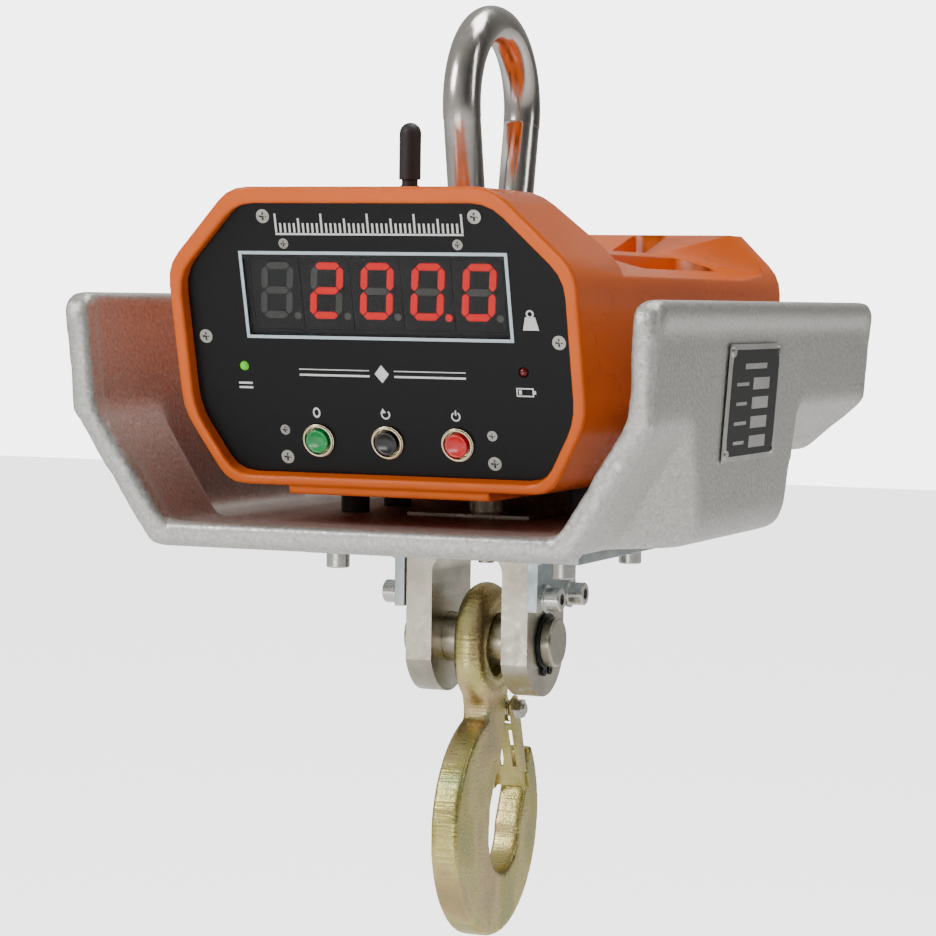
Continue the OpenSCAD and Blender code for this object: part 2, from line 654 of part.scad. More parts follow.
module casing() color("orangered") hang() difference() {
    union() {
        difference() {
            union() {
                case_form(0, bezel_proud);
                intersection() {
                    translate([-belly_x, -300, casing_low - belly_drop]) cube([2 * belly_x, 300 + bulge_rear - 30, 20]);
                    along_x(-case_x, case_x)
                        polygon([[face_y(casing_low - belly_drop, bezel_proud - 1), casing_low - belly_drop],
                                 [face_y(hood_h, bezel_proud - 1), hood_h], [90, hood_h],
                                 [90, casing_low - belly_drop]]);
                }
            }
            difference() {
                case_form(wall, -panel_t - 3);
                recesses(wall);
            }
        }
        // bosses for the screws from the tray, and for the rear cover
        for (x = [-1, 1], y = case_screw_y) translate([x * case_screw_x, y, casing_low + 0.5]) cylinder(d = 15, h = 14);
        for (p = cover_screws) translate([p[0], casing_rear - 12, cover_z + p[1]]) rod_y(4.5, 0, 11.5);
        for (s = [-1, 1], p = big_screws) on_panel() translate([s * p[0], p[1], -panel_t - 14]) cylinder(r = 4.5, h = 13);
    }
    // panel seat and the opening behind it
    on_panel() translate([0, 0, -panel_t]) linear_extrude(60) panel_outline(-slip);
    on_panel() translate([0, 0, -12]) linear_extrude(20) panel_outline(15);
    on_panel() translate([-2.5 * digit_pitch - 1, window_v - digit_l / 2 - 1, -14])
        cube([5 * digit_pitch + 2, digit_l + 2, 14]);
    on_panel() translate([-button_pitch - 13, button_v - 13, -12]) cube([2 * button_pitch + 26, 20, 15]);
    for (s = [-1, 1], p = big_screws) on_panel() translate([s * p[0], p[1], -panel_t - 12]) cylinder(d = 4, h = 30);
    recesses(0);
    leg_slots();
    for (x = [-1, 1], y = case_screw_y) translate([x * case_screw_x, y, casing_low - 10]) cylinder(d = case_screw_d, h = 22);
    for (p = cover_screws) translate([p[0], 0, cover_z + p[1]]) rod_y(2, casing_rear - 10, casing_rear + 10);
    translate([0, casing_rear, cover_z]) cube([cover_w - 26, 40, cover_h - 24], center = true);
    translate([socket_x, 0, cover_z]) rod_y(8.1, casing_rear - 20, casing_rear + 10);
    translate([antenna_x, 0, saddle_h - 20]) cylinder(r = 4, h = 40);
    translate([0, 0, casing_low - 20]) cylinder(d = stud_d * 1.5 / cos(30) + 6, h = 30);
}

module casing_spacers() color("dimgray") hang()
    for (x = [-1, 1], y = case_screw_y) translate([x * case_screw_x, y, tray_in]) difference() {
        cylinder(d = 16, h = casing_low - tray_in);
        translate([0, 0, -1]) cylinder(d = case_screw_d + 2 * slip, h = 40);
    }

module casing_screws() color("silver") hang() for (x = [-1, 1], y = case_screw_y)
    translate([x * case_screw_x, y, floor_z + 7]) cap_screw(case_screw_d, casing_low - floor_z + 3);

module rear_cover() color("orangered") hang() difference() {
    translate([0, casing_rear + 3.5, cover_z]) rotate([90, 0, 0]) linear_extrude(2.5) round_rect(cover_w, cover_h, 8);
    for (p = cover_screws) translate([p[0], 0, cover_z + p[1]]) rod_y(2 + screw_gap / 2, casing_rear, casing_rear + 10);
}

module rear_gasket() color("black") hang() translate([0, casing_rear + 1, cover_z]) rotate([90, 0, 0])
    linear_extrude(1) difference() {
        round_rect(cover_w - 1, cover_h - 1, 7.5);
        square([cover_w - 26, cover_h - 24], center = true);
        for (p = cover_screws) translate(p) circle(2.5);
    }

module rear_cover_screws() color("silver") hang()
    for (p = cover_screws) translate([p[0], casing_rear + 3.5, cover_z + p[1]]) rotate([90, 0, 0]) {
        difference() {
            translate([0, 0, -2.2]) cylinder(r = 3.6, h = 2.2);
            for (a = [0, 90]) rotate(a) translate([-2, -0.45, -3]) cube([4, 0.9, 1.8]);
        }
        cylinder(r = 2, h = 12);
    }

/* ---- display panel ---- */

module front_panel() color("#26262a") hang() on_panel() difference() {
    translate([0, 0, -panel_t]) linear_extrude(panel_t) panel_outline(0);
    translate([0, window_v, -panel_t - 1]) linear_extrude(10) round_rect(window_w, window_l, 3);
    for (s = [-1, 1], p = big_screws) translate([s * p[0], p[1], 0]) {
        translate([0, 0, -10]) cylinder(r = 2.1, h = 20);
        translate([0, 0, -1.8]) cylinder(d1 = 4, d2 = 7.7, h = 1.9, $fn = 40);
    }
    for (s = [-1, 1], p = small_screws) translate([s * p[0], p[1], 0]) {
        translate([0, 0, -10]) cylinder(r = 1.6, h = 20);
        translate([0, 0, -1.35]) cylinder(d1 = 3, d2 = 5.9, h = 1.45, $fn = 40);
    }
    for (i = [-1:1]) translate([i * button_pitch, button_v, -10]) cylinder(r = barrel_r + 0.1, h = 20);
    for (s = [-1, 1]) translate([s * lamp_x, lamp_v, -10]) cylinder(r = 2.8, h = 20);
}

module display_window() color([0.1, 0.1, 0.12, 0.5]) hang() on_panel() translate([0, window_v, -panel_t + 0.2])
    linear_extrude(panel_t - 0.8) round_rect(window_w - 2 * slip, window_l - 2 * slip, 3 - slip);

digit_back = -panel_t - 9;
module digit_modules() color("#303030") hang() on_panel() for (i = [-2:2])
    translate([i * digit_pitch - digit_w / 2, window_v - digit_l / 2, digit_back]) cube([digit_w, digit_l, 8.8]);

module display_board() color("seagreen") hang() on_panel()
    translate([-2.5 * digit_pitch - 3, window_v - digit_l / 2 - 3, digit_back - 1.7])
        cube([5 * digit_pitch + 6, digit_l + 6, 1.6]);

board_w = -36;
module main_board() color("seagreen") hang() on_panel() difference() {
    translate([-board_x, -42, board_w - 1.6]) cube([2 * board_x, 124, 1.6]);
    for (s = [-1, 1], p = small_screws) translate([s * p[0], p[1], board_w - 5]) cylinder(r = 1.6, h = 10);
}

module board_standoffs() color("goldenrod") hang() on_panel()
    for (s = [-1, 1], p = small_screws) translate([s * p[0], p[1], 0]) difference() {
        union() {
            translate([0, 0, board_w]) linear_extrude(-panel_t - board_w) hexagon(5.5);
            translate([0, 0, board_w - 5]) cylinder(r = 1.5, h = 6);
        }
        translate([0, 0, -panel_t - 10]) cylinder(r = 1.5, h = 20);
    }

module panel_screws_large() color("silver") hang() on_panel()
    for (s = [-1, 1], p = big_screws) translate([s * p[0], p[1], 0]) panel_screw(4, 12);

module panel_screws_small() color("silver") hang() on_panel()
    for (s = [-1, 1], p = small_screws) translate([s * p[0], p[1], 0]) panel_screw(3, 10);

module lamp() {
    translate([0, 0, -7]) cylinder(r = 2.5, h = 6);
    translate([0, 0, -1]) intersection() {
        sphere(2.5);
        cylinder(r = 3, h = 3);
    }
    translate([0, 0, -panel_t - 5]) cylinder(r = 4, h = 4.8);
}
module steady_lamp() color("limegreen") hang() on_panel() translate([-lamp_x, lamp_v, 0]) lamp();
module battery_lamp() color("darkred") hang() on_panel() translate([lamp_x, lamp_v, 0]) lamp();

barrel_len = 17;
barrel_r = 8;
well_r = 7.5;
well_depth = 2.5;
cap_proud = 3.8;
module button_bezels() color("goldenrod") hang() on_panel() for (i = [-1:1]) translate([i * button_pitch, button_v, 0])
    rotate_extrude() {
        translate([cap_d / 2 + slip, -barrel_len]) square([barrel_r - cap_d / 2 - slip, barrel_len - well_depth]);
        translate([well_r, -barrel_len]) square([barrel_r - well_r, barrel_len + 1]);
        translate([well_r, 0.01]) square([button_d / 2 - well_r, 1.6]);
        translate([well_r, 0.01]) square([button_d / 2 - well_r - 0.5, 2.4]);
    }

module button_nuts() color("silver") hang() on_panel() for (i = [-1:1]) translate([i * button_pitch, button_v, -panel_t - 3.1])
    difference() {
        linear_extrude(3) hexagon(20);
        translate([0, 0, -1]) cylinder(r = barrel_r, h = 6);
    }

// Round cap with a dished top
module cap() difference() {
    translate([0, 0, -9]) cylinder(d = cap_d, h = 9 + cap_proud);
    translate([0, 0, cap_proud + 15]) sphere(16, $fn = 96);
}
module cap_green() color("green") hang() on_panel() translate([-button_pitch, button_v, 0]) cap();
module cap_black() color("#141414") hang() on_panel() translate([0, button_v, 0]) cap();
module cap_red() color("red") hang() on_panel() translate([button_pitch, button_v, 0]) cap();

module button_switches() color("#202020") hang() on_panel() for (i = [-1:1]) translate([i * button_pitch, button_v, 0]) {
    translate([0, 0, -barrel_len]) cylinder(d = cap_d, h = 5);
    translate([0, 0, -barrel_len - 12]) cylinder(d = 15, h = 12);
    for (s = [-1, 1]) translate([s * 4 - 1.4, -0.4, -barrel_len - 18]) cube([2.8, 0.8, 6.5]);
}

/* ---- inside and on the casing ---- */

battery_w = 2 * (case_x - 64);
battery_l = 46;
battery_h = 70;
battery_y = 112;
module battery() color("dimgray") hang() translate([-battery_w / 2, battery_y, rear_low + wall + 2]) {
    cube([battery_w, battery_l, battery_h - 8]);
    translate([4, 4, 0]) cube([battery_w - 8, battery_l - 8, battery_h - 4]);
}

module battery_bracket() color("silver") hang() translate([0, battery_y - 2, rear_low + wall + 0.1]) {
    difference() {
        translate([-battery_w / 2 - 3, 0, 0]) cube([battery_w + 6, battery_l + 4, 34]);
        translate([-battery_w / 2 - 0.5, -1, 1.8]) cube([battery_w + 1, battery_l + 10, 50]);
        translate([0, 24, 0]) cube([60, 24, 10], center = true);
    }
}

module charging_socket() color("silver") hang() translate([socket_x, 0, cover_z]) difference() {
    union() {
        rod_y(8, casing_rear - 14, casing_rear + 0.1);
        rod_y(10, casing_rear + 0.1, casing_rear + 3);
    }
    rod_y(5.5, casing_rear - 8, casing_rear + 6);
}

module radio_module() color("seagreen") hang() translate([antenna_x - 14, -12, saddle_h - 19.6]) {
    cube([40, 26, 1.6]);
    translate([6, 4, 1.6]) cube([28, 18, 5]);
}

module antenna_base() color("silver") hang() translate([antenna_x, 0, saddle_h]) {
    difference() {
        linear_extrude(3) hexagon(11);
        translate([0, 0, -1]) cylinder(r = 4, h = 10);
    }
    translate([0, 0, -13]) cylinder(r = 4, h = 17.9);
}

module antenna() color("black") hang() translate([antenna_x, 0, saddle_h + 5]) {
    cylinder(r = 4.6, h = 36);
    for (i = [0:4]) translate([0, 0, 3 + i * 6]) cylinder(r = 5.4, h = 3.6);
    translate([0, 0, 34]) cylinder(r = 6.2, h = 26);
    translate([0, 0, 60]) sphere(6.2);
}

// Tube swept along a few hand-set points
function along(p, i) = unit(p[min(i + 1, len(p) - 1)] - p[max(i - 1, 0)]);
function ring(p, i, r, n) = let (t = along(p, i), u = unit(cross(t, [0, 0.1, 1])), v = cross(t, u))
    [for (k = [0:n - 1]) p[i] + r * (cos(k * 360 / n) * u + sin(k * 360 / n) * v)];
module tube(p, r, n) polyhedron(
    points = [for (i = [0:len(p) - 1]) each ring(p, i, r, n)],
    faces = concat([[for (k = [0:n - 1]) k]],
        [for (i = [0:len(p) - 2], k = [0:n - 1]) [i * n + k, (i + 1) * n + k, (i + 1) * n + (k + 1) % n, i * n + (k + 1) % n]],
        [[for (k = [n - 1:-1:0]) (len(p) - 1) * n + k]]));

cable_route = [[20, -23.2, 150], [20, -30, 150], [20, -38, 148], [20, -47, 143], [20, -57, 138], [20, -67, 136],
               [20, -77, 138], [20, -87, 143], [20, -96, 148], [20, -104, 150], [20, -110.2, 150]];
module cell_cable() color("#222222") hang() tube(cable_route, 2.4, 10);

/* ---- data plate ---- */

name_w = 94;
name_l = 63;
name_y = -16;
name_z = 138.5;
name_rivets = [for (y = [-1, 1], z = [-1, 1]) [y * (name_w / 2 - 4), z * (name_l / 2 - 4)]];
module on_wall() translate([wall_x(name_z), name_y, name_z]) rotate([0, atan(0.07), 0]) rotate([90, 0, 90]) children();

module nameplate() color("silver") hang() on_wall() difference() {
    translate([0, 0, 0.02]) linear_extrude(1) round_rect(name_w, name_l, 2);
    for (p = name_rivets) translate([p[0], p[1], -1]) cylinder(r = 1.5, h = 4);
}

module nameplate_rivets() color("white") hang() on_wall() for (p = name_rivets) translate([p[0], p[1], 0.02]) {
    cylinder(r = 1.5, h = 1.2);
    translate([0, 0, 1.0]) cylinder(r = 2.6, h = 0.9);
}

shackle_bow();
shackle_pin();
shackle_nut();
shackle_cotter();
load_cell();
fork_stud();
stud_lock_nut();
fork();
hook_pin();
hook_pin_circlips();
hook();
latch();
latch_bolt();
latch_nut();
latch_spring();
tray();
tray_plate();
plate_screws();
ear_screws();
ear_washers();
casing();
casing_spacers();
casing_screws();
rear_cover();
rear_gasket();
rear_cover_screws();
front_panel();
display_window();
digit_modules();
display_board();
main_board();
board_standoffs();
panel_screws_large();
panel_screws_small();
steady_lamp();
battery_lamp();
button_bezels();
button_nuts();
cap_green();
cap_black();
cap_red();
button_switches();
battery();
battery_bracket();
charging_socket();
radio_module();
antenna_base();
antenna();
cell_cable();
nameplate();
nameplate_rivets();
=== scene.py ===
from math import atan, cos, pi, radians, sin

import bmesh
import bpy
from mathutils import Matrix, Vector, noise
from mathutils.bvhtree import BVHTree


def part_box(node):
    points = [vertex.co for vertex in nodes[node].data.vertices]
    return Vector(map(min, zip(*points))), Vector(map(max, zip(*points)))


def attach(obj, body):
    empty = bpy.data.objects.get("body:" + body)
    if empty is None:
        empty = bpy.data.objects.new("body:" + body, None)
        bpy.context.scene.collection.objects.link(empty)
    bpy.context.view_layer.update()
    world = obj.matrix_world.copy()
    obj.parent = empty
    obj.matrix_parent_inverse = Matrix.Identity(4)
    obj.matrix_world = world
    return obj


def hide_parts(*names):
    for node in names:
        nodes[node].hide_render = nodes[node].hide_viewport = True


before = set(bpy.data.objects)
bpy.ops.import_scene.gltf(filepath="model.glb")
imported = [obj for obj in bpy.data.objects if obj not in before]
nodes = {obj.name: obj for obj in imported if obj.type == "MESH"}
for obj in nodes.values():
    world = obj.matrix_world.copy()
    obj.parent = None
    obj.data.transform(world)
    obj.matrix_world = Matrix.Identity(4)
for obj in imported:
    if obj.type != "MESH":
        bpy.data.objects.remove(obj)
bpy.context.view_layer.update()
MM = 0.001

# ---------------------------------------------------------------- camera
# A long lens a little above the level of the casing, from the front and the
# right, so that the display, the open guard and the hook's edge all show.
azimuth = radians(22)
rise = radians(3.2)
roll = radians(0.8)
look_at = Vector((-11.9, 0, -238.9)) * MM
backward = Vector((sin(azimuth) * cos(rise), -cos(azimuth) * cos(rise), sin(rise)))
level_right = Vector((cos(azimuth), sin(azimuth), 0))
level_up = backward.cross(level_right)
right = level_right * cos(roll) + level_up * sin(roll)
up = level_up * cos(roll) - level_right * sin(roll)
camera = bpy.data.objects.new("camera", bpy.data.cameras.new("camera"))
bpy.context.scene.collection.objects.link(camera)
camera.data.sensor_width = 36
camera.data.lens = 117.3
camera.data.clip_end = 40
camera.matrix_world = Matrix.Translation(look_at + backward * 1.728) @ Matrix(
    (right, up, backward)).transposed().to_4x4()
bpy.context.scene.camera = camera

# ---------------------------------------------------------------- studio
# A flat pale floor far below the hanging scale, softboxes left, right and
# above, and a surround that is pale to look at but dim in what it lights.
floor_form = bmesh.new()
bmesh.ops.create_grid(floor_form, x_segments=1, y_segments=1, size=9)
bmesh.ops.translate(floor_form, vec=(0, 0, -0.8), verts=floor_form.verts)
floor_mesh = bpy.data.meshes.new("floor")
floor_form.to_mesh(floor_mesh)
floor_form.free()
floor = bpy.data.objects.new("floor", floor_mesh)
bpy.context.scene.collection.objects.link(floor)
floor_paint = bpy.data.materials.new("pale_floor")
floor_paint.use_nodes = True
floor_shader = floor_paint.node_tree.nodes["Principled BSDF"]
floor_shader.inputs["Base Color"].default_value = (0.9, 0.9, 0.9, 1)
floor_shader.inputs["Roughness"].default_value = 0.9
floor_shader.inputs["Specular IOR Level"].default_value = 0.1
floor_shader.inputs["Emission Color"].default_value = (1, 1, 1, 1)
seen = floor_paint.node_tree.nodes.new("ShaderNodeLightPath")
shine = floor_paint.node_tree.nodes.new("ShaderNodeMapRange")
shine.inputs["To Min"].default_value = 0.28
shine.inputs["To Max"].default_value = 2.6
floor_paint.node_tree.links.new(seen.outputs["Is Camera Ray"], shine.inputs["Value"])
floor_paint.node_tree.links.new(shine.outputs["Result"], floor_shader.inputs["Emission Strength"])
floor_mesh.materials.append(floor_paint)


def softbox(name, place, aim, width, height, watts):
    lamp = bpy.data.objects.new(name, bpy.data.lights.new(name, "AREA"))
    lamp.data.shape = "RECTANGLE"
    lamp.data.size = width
    lamp.data.size_y = height
    lamp.data.energy = watts
    bpy.context.scene.collection.objects.link(lamp)
    lamp.location = place
    lamp.rotation_euler = (Vector(aim) - Vector(place)).to_track_quat("-Z", "Y").to_euler()


middle = (0, 0, -0.22)
softbox("key", (-1.5, -1.9, 1.2), middle, 1.0, 1.1, 44)
softbox("side", (2.3, 0.1, 0.9), middle, 0.4, 1.5, 9)
softbox("top", (0.3, 0.6, 1.9), middle, 1.5, 1.0, 34)
softbox("low", (-0.2, -1.9, -0.7), (0, 0, -0.4), 1.2, 0.3, 7)
world = bpy.data.worlds.new("surround")
bpy.context.scene.world = world
world.use_nodes = True
air = world.node_tree
dim = air.nodes["Background"]
dim.inputs["Color"].default_value = (0.90, 0.88, 0.85, 1)
facing = air.nodes.new("ShaderNodeTexCoord")
apart = air.nodes.new("ShaderNodeSeparateXYZ")
air.links.new(facing.outputs["Generated"], apart.inputs["Vector"])
fade = air.nodes.new("ShaderNodeMapRange")
for socket, number in zip(("From Min", "From Max", "To Min", "To Max"), (-0.3, 0.75, 0.46, 0.07)):
    fade.inputs[socket].default_value = number
air.links.new(apart.outputs["X"], fade.inputs["Value"])
air.links.new(fade.outputs["Result"], dim.inputs["Strength"])
pale = air.nodes.new("ShaderNodeBackground")
pale.inputs["Color"].default_value = (1, 1, 1, 1)
pale.inputs["Strength"].default_value = 5.0
ray = air.nodes.new("ShaderNodeLightPath")
either = air.nodes.new("ShaderNodeMixShader")
air.links.new(ray.outputs["Is Camera Ray"], either.inputs["Fac"])
air.links.new(dim.outputs["Background"], either.inputs[1])
air.links.new(pale.outputs["Background"], either.inputs[2])
air.links.new(either.outputs["Shader"], air.nodes["World Output"].inputs["Surface"])

# ---------------------------------------------------------------- shackle
# A bow of polished stainless bar with its cross pin, nut and split pin. It is
# bent hot and buffed, so it mirrors the room, with faint buffing lines.


def new_material(name, colour, metal, rough):
    material = bpy.data.materials.new(name)
    material.use_nodes = True
    shader = material.node_tree.nodes["Principled BSDF"]
    shader.inputs["Base Color"].default_value = (*colour, 1)
    shader.inputs["Metallic"].default_value = metal
    shader.inputs["Roughness"].default_value = rough
    return material, material.node_tree, shader


def grain(tree, scale, detail=4.0, stretch=(1, 1, 1), turn=(0, 0, 0)):
    """Noise over the piece's own coordinates, stretched along one way for brushed or flame-cut lines."""
    place = tree.nodes.new("ShaderNodeTexCoord")
    shift = tree.nodes.new("ShaderNodeMapping")
    shift.inputs["Scale"].default_value = stretch
    shift.inputs["Rotation"].default_value = turn
    tree.links.new(place.outputs["Object"], shift.inputs["Vector"])
    speckle = tree.nodes.new("ShaderNodeTexNoise")
    speckle.inputs["Scale"].default_value = scale
    speckle.inputs["Detail"].default_value = detail
    tree.links.new(shift.outputs["Vector"], speckle.inputs["Vector"])
    return speckle.outputs["Fac"]


def tones(tree, value, stops):
    """Turns a grey value into colours; each stop is (position, red, green, blue)."""
    ramp = tree.nodes.new("ShaderNodeValToRGB")
    while len(ramp.color_ramp.elements) < len(stops):
        ramp.color_ramp.elements.new(0.5)
    for element, (position, *colour) in zip(ramp.color_ramp.elements, stops):
        element.position = position
        element.color = (*colour, 1)
    tree.links.new(value, ramp.inputs["Fac"])
    return ramp.outputs["Color"]


def spread(tree, value, low, high, start=0.3, end=0.7):
    """Maps a noise value to a range of roughness or height."""
    mapped = tree.nodes.new("ShaderNodeMapRange")
    for socket, number in zip(("From Min", "From Max", "To Min", "To Max"), (start, end, low, high)):
        mapped.inputs[socket].default_value = number
    tree.links.new(value, mapped.inputs["Value"])
    return mapped.outputs["Result"]


def relief(tree, shader, height, depth, strength=0.6, under=None):
    """Bump of a given depth in metres; under is a bump that this one lies on."""
    bump = tree.nodes.new("ShaderNodeBump")
    bump.inputs["Distance"].default_value = depth
    bump.inputs["Strength"].default_value = strength
    tree.links.new(height, bump.inputs["Height"])
    if under:
        tree.links.new(under, bump.inputs["Normal"])
    tree.links.new(bump.outputs["Normal"], shader.inputs["Normal"])
    return bump.outputs["Normal"]


def steel(name, low, high, rough_low, rough_high, stretch=(1, 1, 1), scale=220, depth=0.00006):
    """Bare or plated metal: two tones of colour, uneven gloss and a fine surface."""
    material, tree, shader = new_material(name, low, 1.0, rough_low)
    clouds = grain(tree, 38, 5)
    lines = grain(tree, scale, 3, stretch)
    tree.links.new(tones(tree, clouds, [(0.36, *low), (0.64, *high)]), shader.inputs["Base Color"])
    tree.links.new(spread(tree, lines, rough_low, rough_high), shader.inputs["Roughness"])
    relief(tree, shader, lines, depth)
    return material


def copied(node):
    """A merged copy of a CAD node's mesh, with its flat faces whole again."""
    form = bmesh.new()
    form.from_mesh(nodes[node].data)
    bmesh.ops.remove_doubles(form, verts=form.verts, dist=1e-6)
    bmesh.ops.dissolve_limit(form, angle_limit=radians(0.5), verts=form.verts, edges=form.edges)
    return form


def round_edges(form, width, segments, sharper_than, longer_than=0.0, ahead_of=1.0, clamp=True):
    """Rounds outside edges sharper than an angle, longer than a length and ahead of a distance back."""
    surface = BVHTree.FromBMesh(form)
    chosen = []
    for edge in form.edges:
        if len(edge.link_faces) != 2 or edge.calc_length() < longer_than:
            continue
        if edge.calc_face_angle(0.0) < radians(sharper_than) or max(v.co.y for v in edge.verts) > ahead_of:
            continue
        outward = (edge.link_faces[0].normal + edge.link_faces[1].normal).normalized()
        start = (edge.verts[0].co + edge.verts[1].co) / 2 + outward * 0.0004
        if surface.ray_cast(start, outward, 0.5)[0] is None:
            chosen.append(edge)
    bmesh.ops.bevel(form, geom=chosen, affect="EDGES", offset=width, offset_type="OFFSET", segments=segments,
                    profile=0.5, material=-1, clamp_overlap=clamp)


def settle(form, name, body, materials, stands_for=(), sharp=35, weighted=True):
    """Turns a bmesh into a finished piece that rides on its body."""
    mesh = bpy.data.meshes.new(name)
    form.to_mesh(mesh)
    form.free()
    for polygon in mesh.polygons:
        polygon.use_smooth = True
    mesh.set_sharp_from_angle(angle=radians(sharp))
    for material in materials if isinstance(materials, (list, tuple)) else [materials]:
        mesh.materials.append(material)
    piece = bpy.data.objects.new(name, mesh)
    bpy.context.scene.collection.objects.link(piece)
    if weighted:
        even = piece.modifiers.new("even_normals", "WEIGHTED_NORMAL")
        even.keep_sharp = True
    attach(piece, body)
    if stands_for:
        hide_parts(*stands_for)
    return piece


def coat(material, *names):
    """Gives CAD nodes their finish."""
    for name in names:
        nodes[name].data.materials.clear()
        nodes[name].data.materials.append(material)


polished = steel("polished_stainless", (0.60, 0.57, 0.53), (0.76, 0.73, 0.69), 0.16, 0.26, (1, 1, 0.12),
                 300, 0.00003)
plated = steel("bright_zinc", (0.60, 0.58, 0.54), (0.78, 0.76, 0.72), 0.20, 0.32)
milled = steel("milled_stainless", (0.40, 0.37, 0.30), (0.60, 0.56, 0.46), 0.24, 0.40, (1, 0.08, 1), 260)
settle(copied("shackle_bow"), "polished_bow", "shackle", polished, ["shackle_bow"], 40, False)
coat(milled, "shackle_pin", "load_cell", "fork_stud")
coat(plated, "shackle_nut", "shackle_cotter", "stud_lock_nut")

# ---------------------------------------------------------------- fork
# Milled from a stainless block: satin cheeks with cutter lines, a rounded
# gap between them, and the hook pin held by a spring ring at each end.
fork_form = copied("fork")
round_edges(fork_form, 0.8 * MM, 2, 50, 3 * MM)
settle(fork_form, "milled_fork", "scale", milled, ["fork"])
pin_form = copied("hook_pin")
round_edges(pin_form, 0.3 * MM, 2, 40)
settle(pin_form, "turned_hook_pin", "scale", milled, ["hook_pin"])
blackened, black_tree, black_shader = new_material("black_oxide", (0.02, 0.02, 0.02), 0.7, 0.42)
relief(black_tree, black_shader, grain(black_tree, 500), 0.00004)
coat(blackened, "hook_pin_circlips")


# ---------------------------------------------------------------- hook
# Flame cut from plate and yellow passivated, with a forged round eye. The
# cut's ripples run across its edge, and the colour drifts from gold to green.


def recast(form, voxel, rounds):
    """Melts a form's edges together the way a casting or a forging has them."""
    mesh = bpy.data.meshes.new("melt")
    form.to_mesh(mesh)
    form.free()
    body = bpy.data.objects.new("melt", mesh)
    bpy.context.scene.collection.objects.link(body)
    remesh = body.modifiers.new("melt", "REMESH")
    remesh.mode = "VOXEL"
    remesh.voxel_size = voxel
    even_form = bmesh.new()
    even_form.from_object(body, bpy.context.evaluated_depsgraph_get())
    bpy.data.objects.remove(body)
    bpy.data.meshes.remove(mesh)
    for turn in range(rounds):
        bmesh.ops.smooth_vert(even_form, verts=even_form.verts, factor=0.5,
                              use_axis_x=True, use_axis_y=True, use_axis_z=True)
    return even_form


def passivated(name):
    material, tree, shader = new_material(name, (0.55, 0.50, 0.28), 0.92, 0.34)
    patches = grain(tree, 26, 6, (1, 1, 0.7))
    fine = grain(tree, 620, 5)
    ripples = grain(tree, 640, 2, (0.04, 1, 1))
    colours = [(0.30, 0.32, 0.37, 0.17), (0.43, 0.49, 0.42, 0.14), (0.52, 0.62, 0.53, 0.22),
               (0.60, 0.55, 0.40, 0.20), (0.72, 0.30, 0.37, 0.19)]
    tree.links.new(tones(tree, patches, colours), shader.inputs["Base Color"])
    tree.links.new(spread(tree, fine, 0.24, 0.44), shader.inputs["Roughness"])
    skin = relief(tree, shader, fine, 0.0003, 0.5)
    relief(tree, shader, ripples, 0.0006, 0.6, skin)
    return material


gold_zinc = passivated("yellow_passivated")
settle(recast(copied("hook"), 1.25 * MM, 7), "flame_cut_hook", "hook_body", gold_zinc, ["hook"],
       60, False)
latch_form = copied("latch")
round_edges(latch_form, 0.35 * MM, 2, 40, 1.5 * MM)
settle(latch_form, "pressed_latch", "latch_body", passivated("latch_passivated"), ["latch"])
coat(plated, "latch_bolt", "latch_nut", "latch_spring")

# ---------------------------------------------------------------- guard tray
# Sand-cast aluminium trough. Its skin is grainy and pitted, and its rims are
# thick and round.
cast, cast_tree, cast_shader = new_material("cast_aluminium", (0.6, 0.59, 0.57), 0.75, 0.5)
cast_speckle = grain(cast_tree, 520, 6)
cast_grain = grain(cast_tree, 380, 5)
cast_lumps = grain(cast_tree, 70, 3)
cast_tones = [(0.26, 0.44, 0.43, 0.40), (0.42, 0.55, 0.54, 0.51),
              (0.60, 0.62, 0.61, 0.58), (0.74, 0.74, 0.73, 0.70)]
cast_tree.links.new(tones(cast_tree, cast_speckle, cast_tones), cast_shader.inputs["Base Color"])
cast_tree.links.new(spread(cast_tree, cast_grain, 0.36, 0.60), cast_shader.inputs["Roughness"])
cast_skin = relief(cast_tree, cast_shader, cast_lumps, 0.0008, 0.3)
relief(cast_tree, cast_shader, cast_grain, 0.0007, 0.5, cast_skin)
settle(recast(copied("tray"), 2.6 * MM, 10), "cast_tray", "scale", cast, ["tray"], 180, False)

# ---------------------------------------------------------------- plate
# A zinc-plated steel plate under the tray, with two welded ears that are
# bolted to the fork, and socket screws with bright heads.
blue_zinc = steel("blue_zinc", (0.34, 0.39, 0.40), (0.52, 0.56, 0.55), 0.26, 0.44)
plate_form = copied("tray_plate")
round_edges(plate_form, 0.5 * MM, 2, 50, 4 * MM)
settle(plate_form, "zinc_plate_with_ears", "scale", blue_zinc, ["tray_plate"])
for fastener in ("plate_screws", "ear_screws", "ear_washers", "casing_screws"):
    coat(plated, fastener)
ear_form = bmesh.new()
weld_x, weld_y, weld_z = 44.2 * MM, 28 * MM, -286.2 * MM
BEADS = 19
for side in (-1, 1):
    for step in range(BEADS):
        along = weld_y * (2 * step / (BEADS - 1) - 1)
        blob = bmesh.ops.create_uvsphere(ear_form, u_segments=12, v_segments=8, radius=3.0 * MM)
        wobble = noise.noise(Vector((side * 3.1, step * 1.7, 0.4)))
        bmesh.ops.scale(ear_form, vec=(1, 1 + 0.3 * wobble, 0.85), verts=blob["verts"])
        bead_at = (side * (weld_x + 0.4 * MM * wobble), along, weld_z)
        bmesh.ops.translate(ear_form, vec=bead_at, verts=blob["verts"])
settle(ear_form, "weld_beads", "scale", blue_zinc, (), 80, False)

